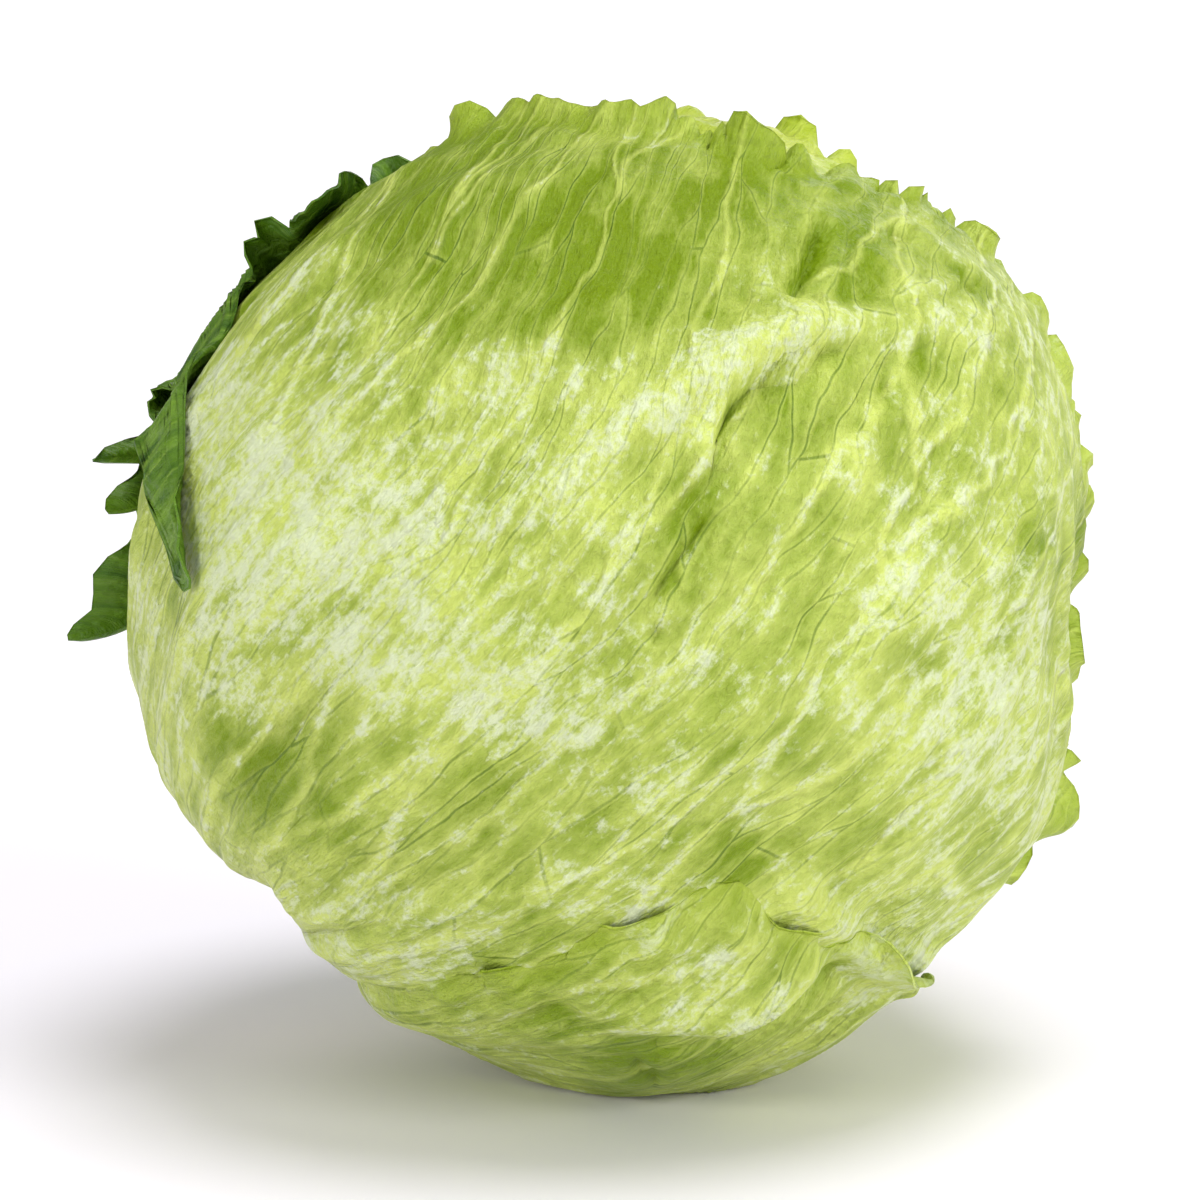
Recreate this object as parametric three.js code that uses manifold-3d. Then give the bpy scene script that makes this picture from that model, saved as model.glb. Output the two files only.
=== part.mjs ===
// A head of crisphead lettuce, cut off at the stem and lying on its side.
// Millimetres, +Z up. The origin is the middle of the small flat spot that the head rests on.
// The head is a cut stem, a dense heart, and wrapper leaves that lie one over another on the heart.
// Every leaf grows from the stem, is cupped round the ball and ends in a waved edge.

import * as THREE from "three";
import { mergeVertices } from "three/addons/utils/BufferGeometryUtils.js";
import Module from "manifold-3d";

const wasm = await Module();
wasm.setup();

// Driving dimensions
const HEAD_RADIUS = 79;
const REST_HEIGHT = 80.3;
const LEAF_THICKNESS = 1.0;
const LEAF_GAP = 1.2;
const PIECE_GAP = 0.4;
const STEM_RADIUS = 13;
const STEM_END = 74;
const STEM_ROOT = 24;
const STEM_SIDES = 20;
const LEAF_PITCH = LEAF_THICKNESS + LEAF_GAP;
const HEAD_CENTRE = new THREE.Vector3(0, 0, REST_HEIGHT);

// The head lies with its cut stem down, to the left and a little behind.
const STEM_WAY = new THREE.Vector3(-0.71, 0.19, -0.68).normalize();
const FRONT_WAY = new THREE.Vector3(0, -1, 0).projectOnPlane(STEM_WAY).normalize();
const SIDE_WAY = new THREE.Vector3().crossVectors(STEM_WAY, FRONT_WAY);

const radians = THREE.MathUtils.degToRad;
const smoothstep = (x, low, high) => THREE.MathUtils.smoothstep(x, low, high);

// Materials, from the pale heart to the dark outer leaf.
const leafGreen = (color) => new THREE.MeshStandardMaterial({ color, roughness: 0.42, metalness: 0 });
const HEART_PALE = leafGreen(0xdfe7a6);
const INNER_GREEN = leafGreen(0xc3d765);
const FRESH_GREEN = leafGreen(0xb5cc4b);
const DARK_GREEN = leafGreen(0x5d8418);
const STEM_CREAM = new THREE.MeshStandardMaterial({ color: 0xd9cba3, roughness: 0.7, metalness: 0 });

// Leaves from the innermost to the outermost. turn is where the midrib lies round the stem: 0 at the
// front, 90 at the upper left, 180 at the back. middle is how far the leaf's middle lies from the
// stem, and tip, left and right how far its edge lies from there, all as angles on the ball.
// lean makes a leaf lopsided, phase shifts its lobes, edge is how far its waves stand off the head.
const STEM_CLEAR = 12.5;
const LEAVES = [
  {
    name: "inner_leaf_low", green: INNER_GREEN,
    turn: -70, middle: 96, tip: 80, left: 80, right: 84, lean: 0, phase: 1.9, edge: 4,
  },
  {
    name: "back_leaf_right", green: FRESH_GREEN,
    turn: -142, middle: 98, tip: 82, left: 86, right: 82, lean: 0, phase: 4.0, edge: 6,
  },
  {
    name: "back_leaf_top", green: FRESH_GREEN,
    turn: 128, middle: 98, tip: 82, left: 80, right: 86, lean: 0, phase: 3.1, edge: 6,
  },
  {
    name: "under_leaf_front", green: INNER_GREEN,
    turn: 17, middle: 104, tip: 99, left: 86, right: 105, lean: -6, phase: 1.4, edge: 6,
  },
  {
    name: "front_leaf", green: FRESH_GREEN,
    turn: -12, middle: 64, tip: 130, left: 120, right: 76, lean: -16, phase: 0.6, edge: 7,
  },
  {
    name: "low_leaf", green: FRESH_GREEN,
    turn: -122, middle: 42, tip: 42, left: 92, right: 50, lean: 0, phase: 4.9, edge: 5,
  },
  {
    name: "outer_leaf_back", green: DARK_GREEN,
    turn: 152, middle: 74, tip: 58, left: 54, right: 68, lean: 0, phase: 2.3, edge: 7,
  },
].map((leaf) => ({ ...leaf, ...leafAxes(radians(leaf.turn), radians(leaf.middle)) }));

// The middle of a leaf on the ball, and the ways up and across the leaf from there.
function leafAxes(turn, fromStem) {
  const out = FRONT_WAY.clone()
    .multiplyScalar(Math.cos(turn))
    .addScaledVector(SIDE_WAY, Math.sin(turn));
  const centre = STEM_WAY.clone()
    .multiplyScalar(Math.cos(fromStem))
    .addScaledVector(out, Math.sin(fromStem));
  const up = STEM_WAY.clone()
    .multiplyScalar(-Math.sin(fromStem))
    .addScaledVector(out, Math.cos(fromStem));
  return { centre, up, across: new THREE.Vector3().crossVectors(centre, up) };
}

// How far a leaf's edge lies from its middle, by the angle round the middle: 0 is the tip, 90 degrees
// its left side and 180 degrees the stem.
const LOBE = radians(2.2);
function edgeReach(leaf, round) {
  const up = Math.cos(round);
  const across = Math.sin(round);
  const along = up > 0 ? leaf.tip : leaf.middle - STEM_CLEAR;
  const aside = across > 0 ? leaf.left : leaf.right;
  const free = ((1 + up) / 2) ** 0.5;
  const lobes =
    Math.sin(3 * round + leaf.phase) +
    0.7 * Math.sin(7 * round + 2 * leaf.phase) +
    0.5 * Math.sin(17 * round + 3 * leaf.phase);
  const lean = radians(leaf.lean) * Math.sin(2 * round) * (1 + up) / 2;
  return radians(along) * up ** 2 + radians(aside) * across ** 2 + lean + LOBE * free * lobes;
}

// The way from the head's centre to a place on a leaf, share of the way from its middle to its edge.
function wayTo(leaf, share, round) {
  const reach = share * edgeReach(leaf, round);
  return leaf.centre
    .clone()
    .multiplyScalar(Math.cos(reach))
    .addScaledVector(leaf.across, Math.sin(reach) * Math.sin(round))
    .addScaledVector(leaf.up, Math.sin(reach) * Math.cos(round));
}

// Where a way from the head's centre meets a leaf: the reverse of wayTo, with x across and y up.
function placeOn(leaf, way) {
  const reach = Math.acos(THREE.MathUtils.clamp(way.dot(leaf.centre), -1, 1));
  const round = Math.atan2(way.dot(leaf.across), way.dot(leaf.up));
  return {
    share: reach / edgeReach(leaf, round),
    round,
    x: reach * Math.sin(round),
    y: reach * Math.cos(round) + radians(leaf.middle),
  };
}

// 1 where a leaf lies over the head, fading to 0 outside its edge, so that the next one settles down.
const SETTLE = 1.25;
const cover = (place, settle = SETTLE) => 1 - smoothstep(place.share, 1.0, settle);

// The fleshy midrib: widest and highest at the stem, gone near the tip.
const RIB_HEIGHT = 2.6;
const RIB_HALF_WIDTH = radians(10);
const RIB_LENGTH = radians(105);
function ribHeight(place) {
  const left = Math.max(0, 1 - place.y / RIB_LENGTH);
  const width = RIB_HALF_WIDTH * (0.35 + 0.65 * left);
  return RIB_HEIGHT * left ** 1.5 * Math.exp(-((place.x / width) ** 2));
}

// The outside of the head: a ball drawn in where the leaves gather at the stem, with low swells,
// pleats that fan out from the stem, and the broad shoulders and dents that its outline has, by the
// angle from the right as seen from the front.
const STEM_HOLLOW = 7;
const STEM_HOLLOW_WIDTH = radians(24);
const SWELL = 0.7;
const PLEATS = 13;
const PLEAT_HEIGHT = 0.7;
const SHOULDERS = [
  { at: 32, height: 4, width: 22 },
  { at: 125, height: -1.5, width: 20 },
  { at: 165, height: 1.8, width: 15 },
  { at: 222, height: -5.5, width: 9 },
  { at: 282, height: 6.2, width: 18 },
  { at: 324, height: 3.2, width: 15 },
  { at: 358, height: -2, width: 9 },
];
function outside(way) {
  const fromStem = Math.acos(THREE.MathUtils.clamp(way.dot(STEM_WAY), -1, 1));
  const turn = Math.atan2(way.dot(SIDE_WAY), way.dot(FRONT_WAY));
  const pleat = Math.sin(PLEATS * turn + 2 * Math.sin(3 * fromStem)) * Math.sin(fromStem) ** 2;
  const swells =
    Math.sin(4.1 * way.x + 2.3 * way.z + 0.5) +
    Math.sin(3.7 * way.y - 3.1 * way.x + 1.9) +
    Math.sin(5.2 * way.z + 2.9 * way.y + 4.2);
  const seenAt = THREE.MathUtils.radToDeg(Math.atan2(way.z, way.x));
  const shoulders = SHOULDERS.reduce((sum, { at, height, width }) => {
    const off = THREE.MathUtils.euclideanModulo(seenAt - at + 180, 360) - 180;
    return sum + height * Math.exp(-((off / width) ** 2));
  }, 0);
  const hollow = STEM_HOLLOW * Math.exp(-((fromStem / STEM_HOLLOW_WIDTH) ** 2));
  const waves = SWELL * swells + PLEAT_HEIGHT * pleat;
  return HEAD_RADIUS - hollow + waves + shoulders * (1 - way.y ** 2);
}

// Everything that lies along one way out from the head's centre. base is the heart's surface there.
function layersAlong(way) {
  const places = LEAVES.map((leaf) => placeOn(leaf, way));
  const covers = places.map((place) => cover(place));
  const ribs = places.map((place, i) => covers[i] * ribHeight(place));
  const rib = ribs.reduce((sum, height) => sum + height, 0);
  const floor = way.z < 0 ? REST_HEIGHT / -way.z - rib : Infinity;
  const layers = covers.reduce((sum, c) => sum + c, 0);
  const base = Math.min(outside(way), floor) - LEAF_PITCH * layers;
  return { places, covers, ribs, base };
}

// The inside radius of leaf number index along a way, lying on every leaf below it.
function leafInside(index, { covers, ribs, base }) {
  let radius = base + LEAF_GAP;
  for (let i = 0; i < index; i++) radius += covers[i] * LEAF_PITCH + ribs[i];
  return radius;
}

// How far the waved edge stands off the head. An edge that another leaf covers lies flat, and so does
// the edge beside the stem.
const EDGE_START = 0.86;
const EDGE_END = 1.02;
const FREE_FROM = 1.05;
const FREE_AT = 1.2;
const WAVES = 15;
function edgeStand(index, { places }) {
  const leaf = LEAVES[index];
  const { share, round } = places[index];
  const free = places
    .slice(index + 1)
    .reduce((left, place) => left * smoothstep(place.share, FREE_FROM, FREE_AT), 1);
  const awayFromStem = smoothstep(Math.cos(round), -0.8, -0.3);
  const rise = smoothstep(share, EDGE_START, EDGE_END) ** 1.5;
  const wave = 0.55 + 0.45 * Math.sin(WAVES * round + 3 * leaf.phase);
  return leaf.edge * free * awayFromStem * rise * wave;
}

// Joins two rings of points, of different counts, with one band of triangles facing outwards.
function band(faces, inner, outer, innerStart, outerStart) {
  let i = 0;
  let j = 0;
  while (i < inner || j < outer) {
    const a = innerStart + (i % inner);
    const b = outerStart + (j % outer);
    if (j < outer && (i === inner || (j + 0.5) / outer <= (i + 0.5) / inner)) {
      faces.push([a, b, outerStart + ((j + 1) % outer)]);
      j++;
    } else {
      faces.push([a, b, innerStart + ((i + 1) % inner)]);
      i++;
    }
  }
}

function geometryOf(points, faces) {
  const geometry = new THREE.BufferGeometry();
  geometry.setAttribute("position", new THREE.Float32BufferAttribute(points, 3));
  geometry.setIndex(faces.flat());
  return geometry;
}

// A leaf blade has rings of points from its middle to its edge, on an outer and an inner face.
// The points of a ring are evenly spaced, and the triangles grow smaller towards the edge.
const RING_STEP = 10.5;
const MIDDLE_CELL = 11.5;
const EDGE_CELL = 7.2;
const SAMPLES = 120;
const SAMPLE_STEP = (2 * Math.PI) / SAMPLES;

function ringCount(leaf) {
  const reaches = Array.from({ length: SAMPLES }, (_, i) => edgeReach(leaf, i * SAMPLE_STEP));
  return Math.ceil((Math.max(...reaches) * HEAD_RADIUS) / RING_STEP);
}

function ringRounds(leaf, share) {
  const lengths = [0];
  for (let i = 0; i < SAMPLES; i++) {
    const reach = share * edgeReach(leaf, (i + 0.5) * SAMPLE_STEP);
    lengths.push(lengths[i] + HEAD_RADIUS * Math.sin(reach) * SAMPLE_STEP);
  }
  const cell = THREE.MathUtils.lerp(MIDDLE_CELL, EDGE_CELL, share ** 3);
  const count = Math.max(7, Math.round(lengths[SAMPLES] / cell));
  const rounds = [];
  let sample = 0;
  for (let i = 0; i < count; i++) {
    const along = (lengths[SAMPLES] * i) / count;
    while (lengths[sample + 1] < along) sample++;
    const part = (along - lengths[sample]) / (lengths[sample + 1] - lengths[sample]);
    rounds.push((sample + part) * SAMPLE_STEP);
  }
  return rounds;
}

function leafGeometry(index) {
  const leaf = LEAVES[index];
  const outerFace = [];
  const innerFace = [];
  const addPoint = (share, round) => {
    const way = wayTo(leaf, share, round);
    const layers = layersAlong(way);
    const inside = leafInside(index, layers) + edgeStand(index, layers);
    const thickness = LEAF_THICKNESS + layers.ribs[index];
    for (const [face, radius, lowest] of [
      [outerFace, inside + thickness, 0],
      [innerFace, inside, LEAF_THICKNESS],
    ]) {
      const point = way.clone().multiplyScalar(radius).add(HEAD_CENTRE);
      face.push(point.x, point.y, Math.max(point.z, lowest));
    }
  };
  addPoint(0, 0);
  const faces = [];
  const rings = ringCount(leaf);
  let start = 1;
  let rim = 0;
  for (let ring = 1; ring <= rings; ring++) {
    const rounds = ringRounds(leaf, ring / rings);
    rounds.forEach((round) => addPoint(ring / rings, round));
    if (ring > 1) band(faces, rim, rounds.length, start - rim, start);
    else rounds.forEach((_, i) => faces.push([0, start + i, start + ((i + 1) % rounds.length)]));
    start += rounds.length;
    rim = rounds.length;
  }
  const rimStart = start - rim;
  const closed = [];
  for (const [a, b, c] of faces) closed.push([a, b, c], [start + a, start + c, start + b]);
  for (let i = 0; i < rim; i++) {
    const a = rimStart + i;
    const b = rimStart + ((i + 1) % rim);
    closed.push([b, a, start + a], [b, start + a, start + b]);
  }
  return geometryOf([...outerFace, ...innerFace], closed);
}

// The heart's own leaves show on it as low relief, one edge over another.
const HEART_LEAVES = [-20, 100, 220, 40, 160, 280].map((turn, i) => ({
  middle: 90,
  tip: 85 - 4 * i,
  left: 66,
  right: 66,
  lean: 0,
  phase: i,
  ...leafAxes(radians(turn), radians(90)),
}));
const HEART_RELIEF = 0.9;
const HEART_SETTLE = 1.08;
function heartRadius(way) {
  const { base } = layersAlong(way);
  const covered = HEART_LEAVES.map((leaf) => cover(placeOn(leaf, way), HEART_SETTLE));
  const layers = covered.reduce((sum, c) => sum + c, 0);
  return base - HEART_RELIEF * (HEART_LEAVES.length - layers);
}

const HEART_RINGS = 26;
const HEART_COLUMNS = 40;
function heartGeometry() {
  const other = new THREE.Vector3();
  const points = [];
  const faces = [];
  const addPoint = (tilt, turn) => {
    other.copy(FRONT_WAY).multiplyScalar(Math.cos(turn)).addScaledVector(SIDE_WAY, Math.sin(turn));
    const way = STEM_WAY.clone().multiplyScalar(Math.cos(tilt)).addScaledVector(other, Math.sin(tilt));
    points.push(...way.clone().multiplyScalar(heartRadius(way)).add(HEAD_CENTRE).toArray());
  };
  addPoint(0, 0);
  for (let ring = 1; ring < HEART_RINGS; ring++)
    for (let i = 0; i < HEART_COLUMNS; i++)
      addPoint((Math.PI * ring) / HEART_RINGS, (2 * Math.PI * i) / HEART_COLUMNS);
  addPoint(Math.PI, 0);
  const last = 1 + (HEART_RINGS - 1) * HEART_COLUMNS;
  for (let i = 0; i < HEART_COLUMNS; i++) {
    const next = (i + 1) % HEART_COLUMNS;
    faces.push([0, 1 + i, 1 + next]);
    faces.push([last, last - HEART_COLUMNS + next, last - HEART_COLUMNS + i]);
  }
  for (let ring = 1; ring < HEART_RINGS - 1; ring++)
    band(faces, HEART_COLUMNS, HEART_COLUMNS, 1 + (ring - 1) * HEART_COLUMNS, 1 + ring * HEART_COLUMNS);
  return geometryOf(points, faces);
}

// The stem: a blunt cone inside the heart, widest where the leaves join it, cut off flat outside.
function stemGeometry(grown = 0) {
  const long = STEM_END - STEM_ROOT;
  const profile = [
    [0, -grown],
    [0.45 * STEM_RADIUS + grown, -grown],
    [0.75 * STEM_RADIUS + grown, 0.3 * long],
    [STEM_RADIUS + grown, 0.72 * long],
    [STEM_RADIUS + grown, 0.97 * long],
    [0.93 * STEM_RADIUS + grown, long + grown],
    [0, long + grown],
  ].map(([r, along]) => new THREE.Vector2(r, along));
  const geometry = new THREE.LatheGeometry(profile, STEM_SIDES);
  geometry.applyQuaternion(
    new THREE.Quaternion().setFromUnitVectors(new THREE.Vector3(0, 1, 0), STEM_WAY),
  );
  const root = STEM_WAY.clone().multiplyScalar(STEM_ROOT).add(HEAD_CENTRE);
  return geometry.translate(root.x, root.y, root.z);
}

function solidOf(geometry) {
  const bare = geometry.clone();
  bare.deleteAttribute("normal");
  bare.deleteAttribute("uv");
  const merged = mergeVertices(bare, 1e-4);
  const mesh = new wasm.Mesh({
    numProp: 3,
    vertProperties: merged.attributes.position.array,
    triVerts: new Uint32Array(merged.index.array),
  });
  return new wasm.Manifold(mesh);
}

function geometryOfSolid(solid) {
  const mesh = solid.getMesh();
  const geometry = new THREE.BufferGeometry();
  geometry.setAttribute("position", new THREE.Float32BufferAttribute(mesh.vertProperties, 3));
  return geometry.setIndex(new THREE.Uint32BufferAttribute(mesh.triVerts, 1));
}

function piece(name, geometry, material) {
  const mesh = new THREE.Mesh(geometry, material);
  mesh.name = name;
  return mesh;
}

const lettuce = new THREE.Group();
const heart = solidOf(heartGeometry()).subtract(solidOf(stemGeometry(PIECE_GAP)));
lettuce.add(piece("stem", stemGeometry(), STEM_CREAM));
lettuce.add(piece("heart", geometryOfSolid(heart), HEART_PALE));
LEAVES.forEach((leaf, index) => {
  lettuce.add(piece(leaf.name, leafGeometry(index), leaf.green));
});

export default lettuce;
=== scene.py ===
import bpy
import numpy as np
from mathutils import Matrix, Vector


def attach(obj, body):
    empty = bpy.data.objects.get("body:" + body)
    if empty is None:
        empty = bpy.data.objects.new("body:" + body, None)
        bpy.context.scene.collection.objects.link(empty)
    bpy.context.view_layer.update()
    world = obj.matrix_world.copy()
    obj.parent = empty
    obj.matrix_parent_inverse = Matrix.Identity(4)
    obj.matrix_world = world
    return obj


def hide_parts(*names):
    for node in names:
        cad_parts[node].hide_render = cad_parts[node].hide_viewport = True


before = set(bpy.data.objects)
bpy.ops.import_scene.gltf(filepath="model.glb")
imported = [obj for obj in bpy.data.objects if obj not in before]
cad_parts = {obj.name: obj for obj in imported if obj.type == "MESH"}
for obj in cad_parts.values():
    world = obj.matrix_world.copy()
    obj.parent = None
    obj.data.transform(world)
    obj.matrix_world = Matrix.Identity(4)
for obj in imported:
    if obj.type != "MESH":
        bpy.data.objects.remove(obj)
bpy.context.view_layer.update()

# The heart
# The dense core of the head: leaves that never opened, crumpled over one another. It grows on the
# stem, and every wrapper leaf is laid on it, so the way the layers lie is set out here. Millimetres,
# from the head's middle. A way is a unit vector from there, and angles on the ball are radians.
# STEM_CLEAR is how many degrees from the stem's axis a leaf begins, and SETTLE is how far out, as a
# share of a leaf's reach, the next leaf has come down to what lies inside it.
MM = 0.001
HEAD_RADIUS = 79
REST_HEIGHT = 80.3
LEAF_THICKNESS = 1.0
LEAF_GAP = 1.2
LEAF_PITCH = LEAF_THICKNESS + LEAF_GAP
STEM_CLEAR = 12.5
LOBE = np.radians(2.2)
SETTLE = 1.25
FAN_STRAIGHT = 0.85


def unit(v):
    v = np.asarray(v, float)
    return v / np.linalg.norm(v)


STEM_WAY = unit((-0.71, 0.19, -0.68))
FRONT_WAY = unit(np.array((0, -1, 0)) + STEM_WAY[1] * STEM_WAY)
SIDE_WAY = np.cross(STEM_WAY, FRONT_WAY)


def smoothstep(x, low, high):
    t = np.clip((x - low) / (high - low), 0, 1)
    return t * t * (3 - 2 * t)


class Leaf:
    """A leaf as a patch of the ball. turn is where its midrib lies round the stem, middle how far its
    middle lies from the stem, and tip, left and right how far its edge lies from there, in degrees.
    lean skews its far end, also in degrees, and phase shifts the lobes of its edge."""

    def __init__(self, name, turn, middle, tip, left, right, lean=0, phase=0):
        turn, middle = np.radians((turn, middle))
        out = FRONT_WAY * np.cos(turn) + SIDE_WAY * np.sin(turn)
        self.name = name
        self.centre = STEM_WAY * np.cos(middle) + out * np.sin(middle)
        self.up = out * np.cos(middle) - STEM_WAY * np.sin(middle)
        self.across = np.cross(self.centre, self.up)
        self.middle = middle
        self.base = middle - np.radians(STEM_CLEAR)
        self.tip, self.left, self.right, self.lean = np.radians((tip, left, right, lean))
        self.turn = turn
        self.phase = phase

    def reach(self, spin):
        """How far the edge lies from the middle: spin is 0 at the tip and pi at the stem."""
        up, across = np.cos(spin), np.sin(spin)
        along = np.where(up > 0, self.tip, self.base)
        aside = np.where(across > 0, self.left, self.right)
        lobes = (
            np.sin(3 * spin + self.phase)
            + 0.7 * np.sin(7 * spin + 2 * self.phase)
            + 0.5 * np.sin(17 * spin + 3 * self.phase)
        )
        lean = self.lean * np.sin(2 * spin) * (1 + up) / 2
        return along * up**2 + aside * across**2 + lean + LOBE * lobes * np.sqrt((1 + up) / 2)

    def way(self, reach, spin):
        """The way to a place that lies reach from the middle."""
        aside = np.sin(reach) * np.sin(spin)
        along = np.sin(reach) * np.cos(spin)
        return np.cos(reach)[:, None] * self.centre + aside[:, None] * self.across + along[:, None] * self.up

    def fan(self, way, across, up):
        """Which vein of the fan a place lies on, and how far out. The veins run straight from the stem
        over the head, and spread towards the leaf's own edge near its far end."""
        from_stem = np.arccos(np.clip(way @ STEM_WAY, -1, 1))
        turn = np.arctan2(way @ SIDE_WAY, way @ FRONT_WAY) - self.turn
        turn = (turn + np.pi) % (2 * np.pi) - np.pi
        straight = FAN_STRAIGHT * (1 - smoothstep(from_stem, 1.5, 2.7))
        spread = 1 - straight
        vein = straight * turn + spread * np.arctan2(across, up)
        return vein, straight * from_stem + spread * np.hypot(across, up)

    def place(self, way):
        """Share of the way from the middle to the edge, spin, and the place across and up the leaf."""
        reach = np.arccos(np.clip(way @ self.centre, -1, 1))
        spin = np.arctan2(way @ self.across, way @ self.up)
        return reach / self.reach(spin), spin, reach * np.sin(spin), reach * np.cos(spin) + self.middle


WRAPPERS = [
    Leaf("inner_leaf_low", turn=-70, middle=96, tip=80, left=80, right=84, phase=1.9),
    Leaf("back_leaf_right", turn=-142, middle=98, tip=82, left=86, right=82, phase=4.0),
    Leaf("back_leaf_top", turn=128, middle=98, tip=82, left=80, right=86, phase=3.1),
    Leaf("under_leaf_front", turn=17, middle=104, tip=99, left=86, right=105, lean=-6, phase=1.4),
    Leaf("front_leaf", turn=-12, middle=64, tip=130, left=120, right=76, lean=-16, phase=0.6),
    Leaf("low_leaf", turn=-122, middle=42, tip=42, left=92, right=50, phase=4.9),
    Leaf("outer_leaf_back", turn=152, middle=74, tip=58, left=54, right=68, phase=2.3),
]
HEART_LEAVES = [
    Leaf("heart", turn=turn, middle=90, tip=85 - 4 * i, left=66, right=66, phase=i)
    for i, turn in enumerate((-20, 100, 220, 40, 160, 280))
]

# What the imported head's outside looks like: shoulders and flat places by the angle from the right as
# seen from the front (degrees, millimetres, degrees), and creases that the front has. A crease has its
# height, its width, and points to the right of and above the middle, as seen from the front.
SHOULDERS = [
    (32, 4, 22), (125, -1.5, 20), (165, 1.8, 15), (222, -5.5, 9),
    (282, 6.2, 18), (324, 3.2, 15), (358, -2, 9),
]
FRONT_UP = unit((0, 0.1736, 0.9848))
FRONT_OUT = np.array((0, -FRONT_UP[2], FRONT_UP[1]))
RIDGES = [
    (2.2, 3.0, [(-28, 5), (-18, 10), (-8, 15), (5, 25), (18, 35), (31, 40), (44, 40), (64, 41)]),
    (1.6, 2.2, [(-56, -44.5), (-50, -52), (-30, -49.5), (-13, -46)]),
    (1.3, 1.6, [(35, 59), (34, 52), (31, 45)]),
    (1.1, 1.4, [(26, 57), (24, 50), (24, 44)]),
    (1.0, 1.3, [(37, 54), (43, 49.5), (49, 43), (52, 39)]),
    (1.1, 1.3, [(44.5, 58), (51, 53), (58, 48)]),
    (0.8, 1.2, [(41, 43), (48, 46), (56, 48), (64, 47)]),
    (2.0, 2.4, [(-11.5, -63.5), (2, -65), (15, -65), (28, -61), (38, -55)]),
    (2.2, 2.8, [(25, -44.5), (36, -53), (43, -59.5), (53, -58)]),
    (0.8, 1.8, [(-44, 62), (-30, 66), (-14, 69), (6, 69), (22, 68)]),
]
DENTS = [
    (2.0, 1.4, [(15, 11.5), (12, 7), (8, 1.5), (6, -2.5)]),
    (1.4, 1.4, [(7.5, -5.5), (6, -8)]),
    (3.2, 2.0, [(33, 58), (32, 54), (31, 50), (30, 47), (27, 44)]),
    (1.6, 0.9, [(42, 32), (42.6, 29)]),
    (1.3, 1.3, [(43, 55.5), (48, 55)]),
    (1.2, 1.2, [(53.5, 48), (56.5, 46)]),
    (2.2, 1.6, [(5, -68.5), (18, -67.5), (31, -63.5), (40, -59.5)]),
    (1.2, 1.6, [(-12, 53.5), (-5, 60), (2, 66)]),
    (1.6, 1.3, [(3, -72), (8, -75.5)]),
    (1.5, 1.2, [(21, -65), (22.5, -66)]),
    (1.2, 1.4, [(62, -43), (68, -47)]),
]

# The lip where the low leaf's edge stands off the front leaf.
LIP_HEIGHT = 3.2
LIP_WIDTH = 7
LIP = [(40, 38.5), (31, 37), (25, 35), (21, 32), (17, 28), (15, 23), (14, 18), (13.5, 14)]


def beside(points, x, y):
    """How far places lie from a line through points, how far along it, and on which side."""
    points = np.array(points, float)
    nearest = np.full(x.shape, 1e9)
    along = np.zeros(x.shape)
    side = np.zeros(x.shape)
    steps = len(points) - 1
    for i, (a, b) in enumerate(zip(points[:-1], points[1:])):
        d = b - a
        t = ((x - a[0]) * d[0] + (y - a[1]) * d[1]) / (d @ d)
        end = np.clip(t, 0, 1)
        off = np.hypot(x - a[0] - end * d[0], y - a[1] - end * d[1])
        closer = off < nearest
        nearest = np.where(closer, off, nearest)
        along = np.where(closer, (i + end) / steps, along)
        side = np.where(closer, (d[0] * (y - a[1]) - d[1] * (x - a[0])) / np.hypot(*d), side)
    return nearest, along, side


LATTICE = np.random.default_rng(8).random((24, 24, 24))


def mottle(p):
    """Smooth noise from -1 to 1 with lumps about one unit wide."""
    cell = np.floor(p).astype(int)
    t = p - cell
    t = t * t * (3 - 2 * t)
    total = 0
    for corner in np.ndindex(2, 2, 2):
        weight = np.prod(np.where(np.array(corner, bool), t, 1 - t), axis=1)
        total = total + weight * LATTICE[tuple(((cell + corner) % 24).T)]
    return 2 * total - 1


def creases(way):
    """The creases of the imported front."""
    x, y = HEAD_RADIUS * way[:, 0], HEAD_RADIUS * (way @ FRONT_UP)
    facing = smoothstep(way @ FRONT_OUT, 0.05, 0.3)
    height = np.zeros(len(way))
    for sign, lines in ((1, RIDGES), (-1, DENTS)):
        for tall, width, points in lines:
            low, high = np.min(points, axis=0) - 3 * width, np.max(points, axis=0) + 3 * width
            near = (x > low[0]) & (x < high[0]) & (y > low[1]) & (y < high[1]) & (facing > 0)
            if not near.any():
                continue
            off, along, _ = beside(points, x[near], y[near])
            fade = smoothstep(along, -0.02, 0.2) * smoothstep(1 - along, -0.02, 0.2)
            height[near] += sign * tall * fade * np.exp(-((off / width) ** 2))
    off, along, side = beside(LIP, x, y)
    fade = smoothstep(along, -0.02, 0.25) * smoothstep(1 - along, -0.02, 0.3)
    step = smoothstep(-side, -0.6, 0.5) * np.exp(-((off / LIP_WIDTH) ** 2))
    step -= 0.35 * np.exp(-((side - 1) ** 2))
    height += LIP_HEIGHT * fade * np.where(off < 3 * LIP_WIDTH, step, 0)
    return height * facing


HOLLOW_DEPTH = 7
HOLLOW_WIDTH = np.radians(24)
SWELL_HEIGHT = 0.7
PLEATS = 13
PLEAT_HEIGHT = 0.7
NARROW_FOLD = 1.1
WIDE_FOLD = 1.0
LUMP_HEIGHT = 0.8


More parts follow.
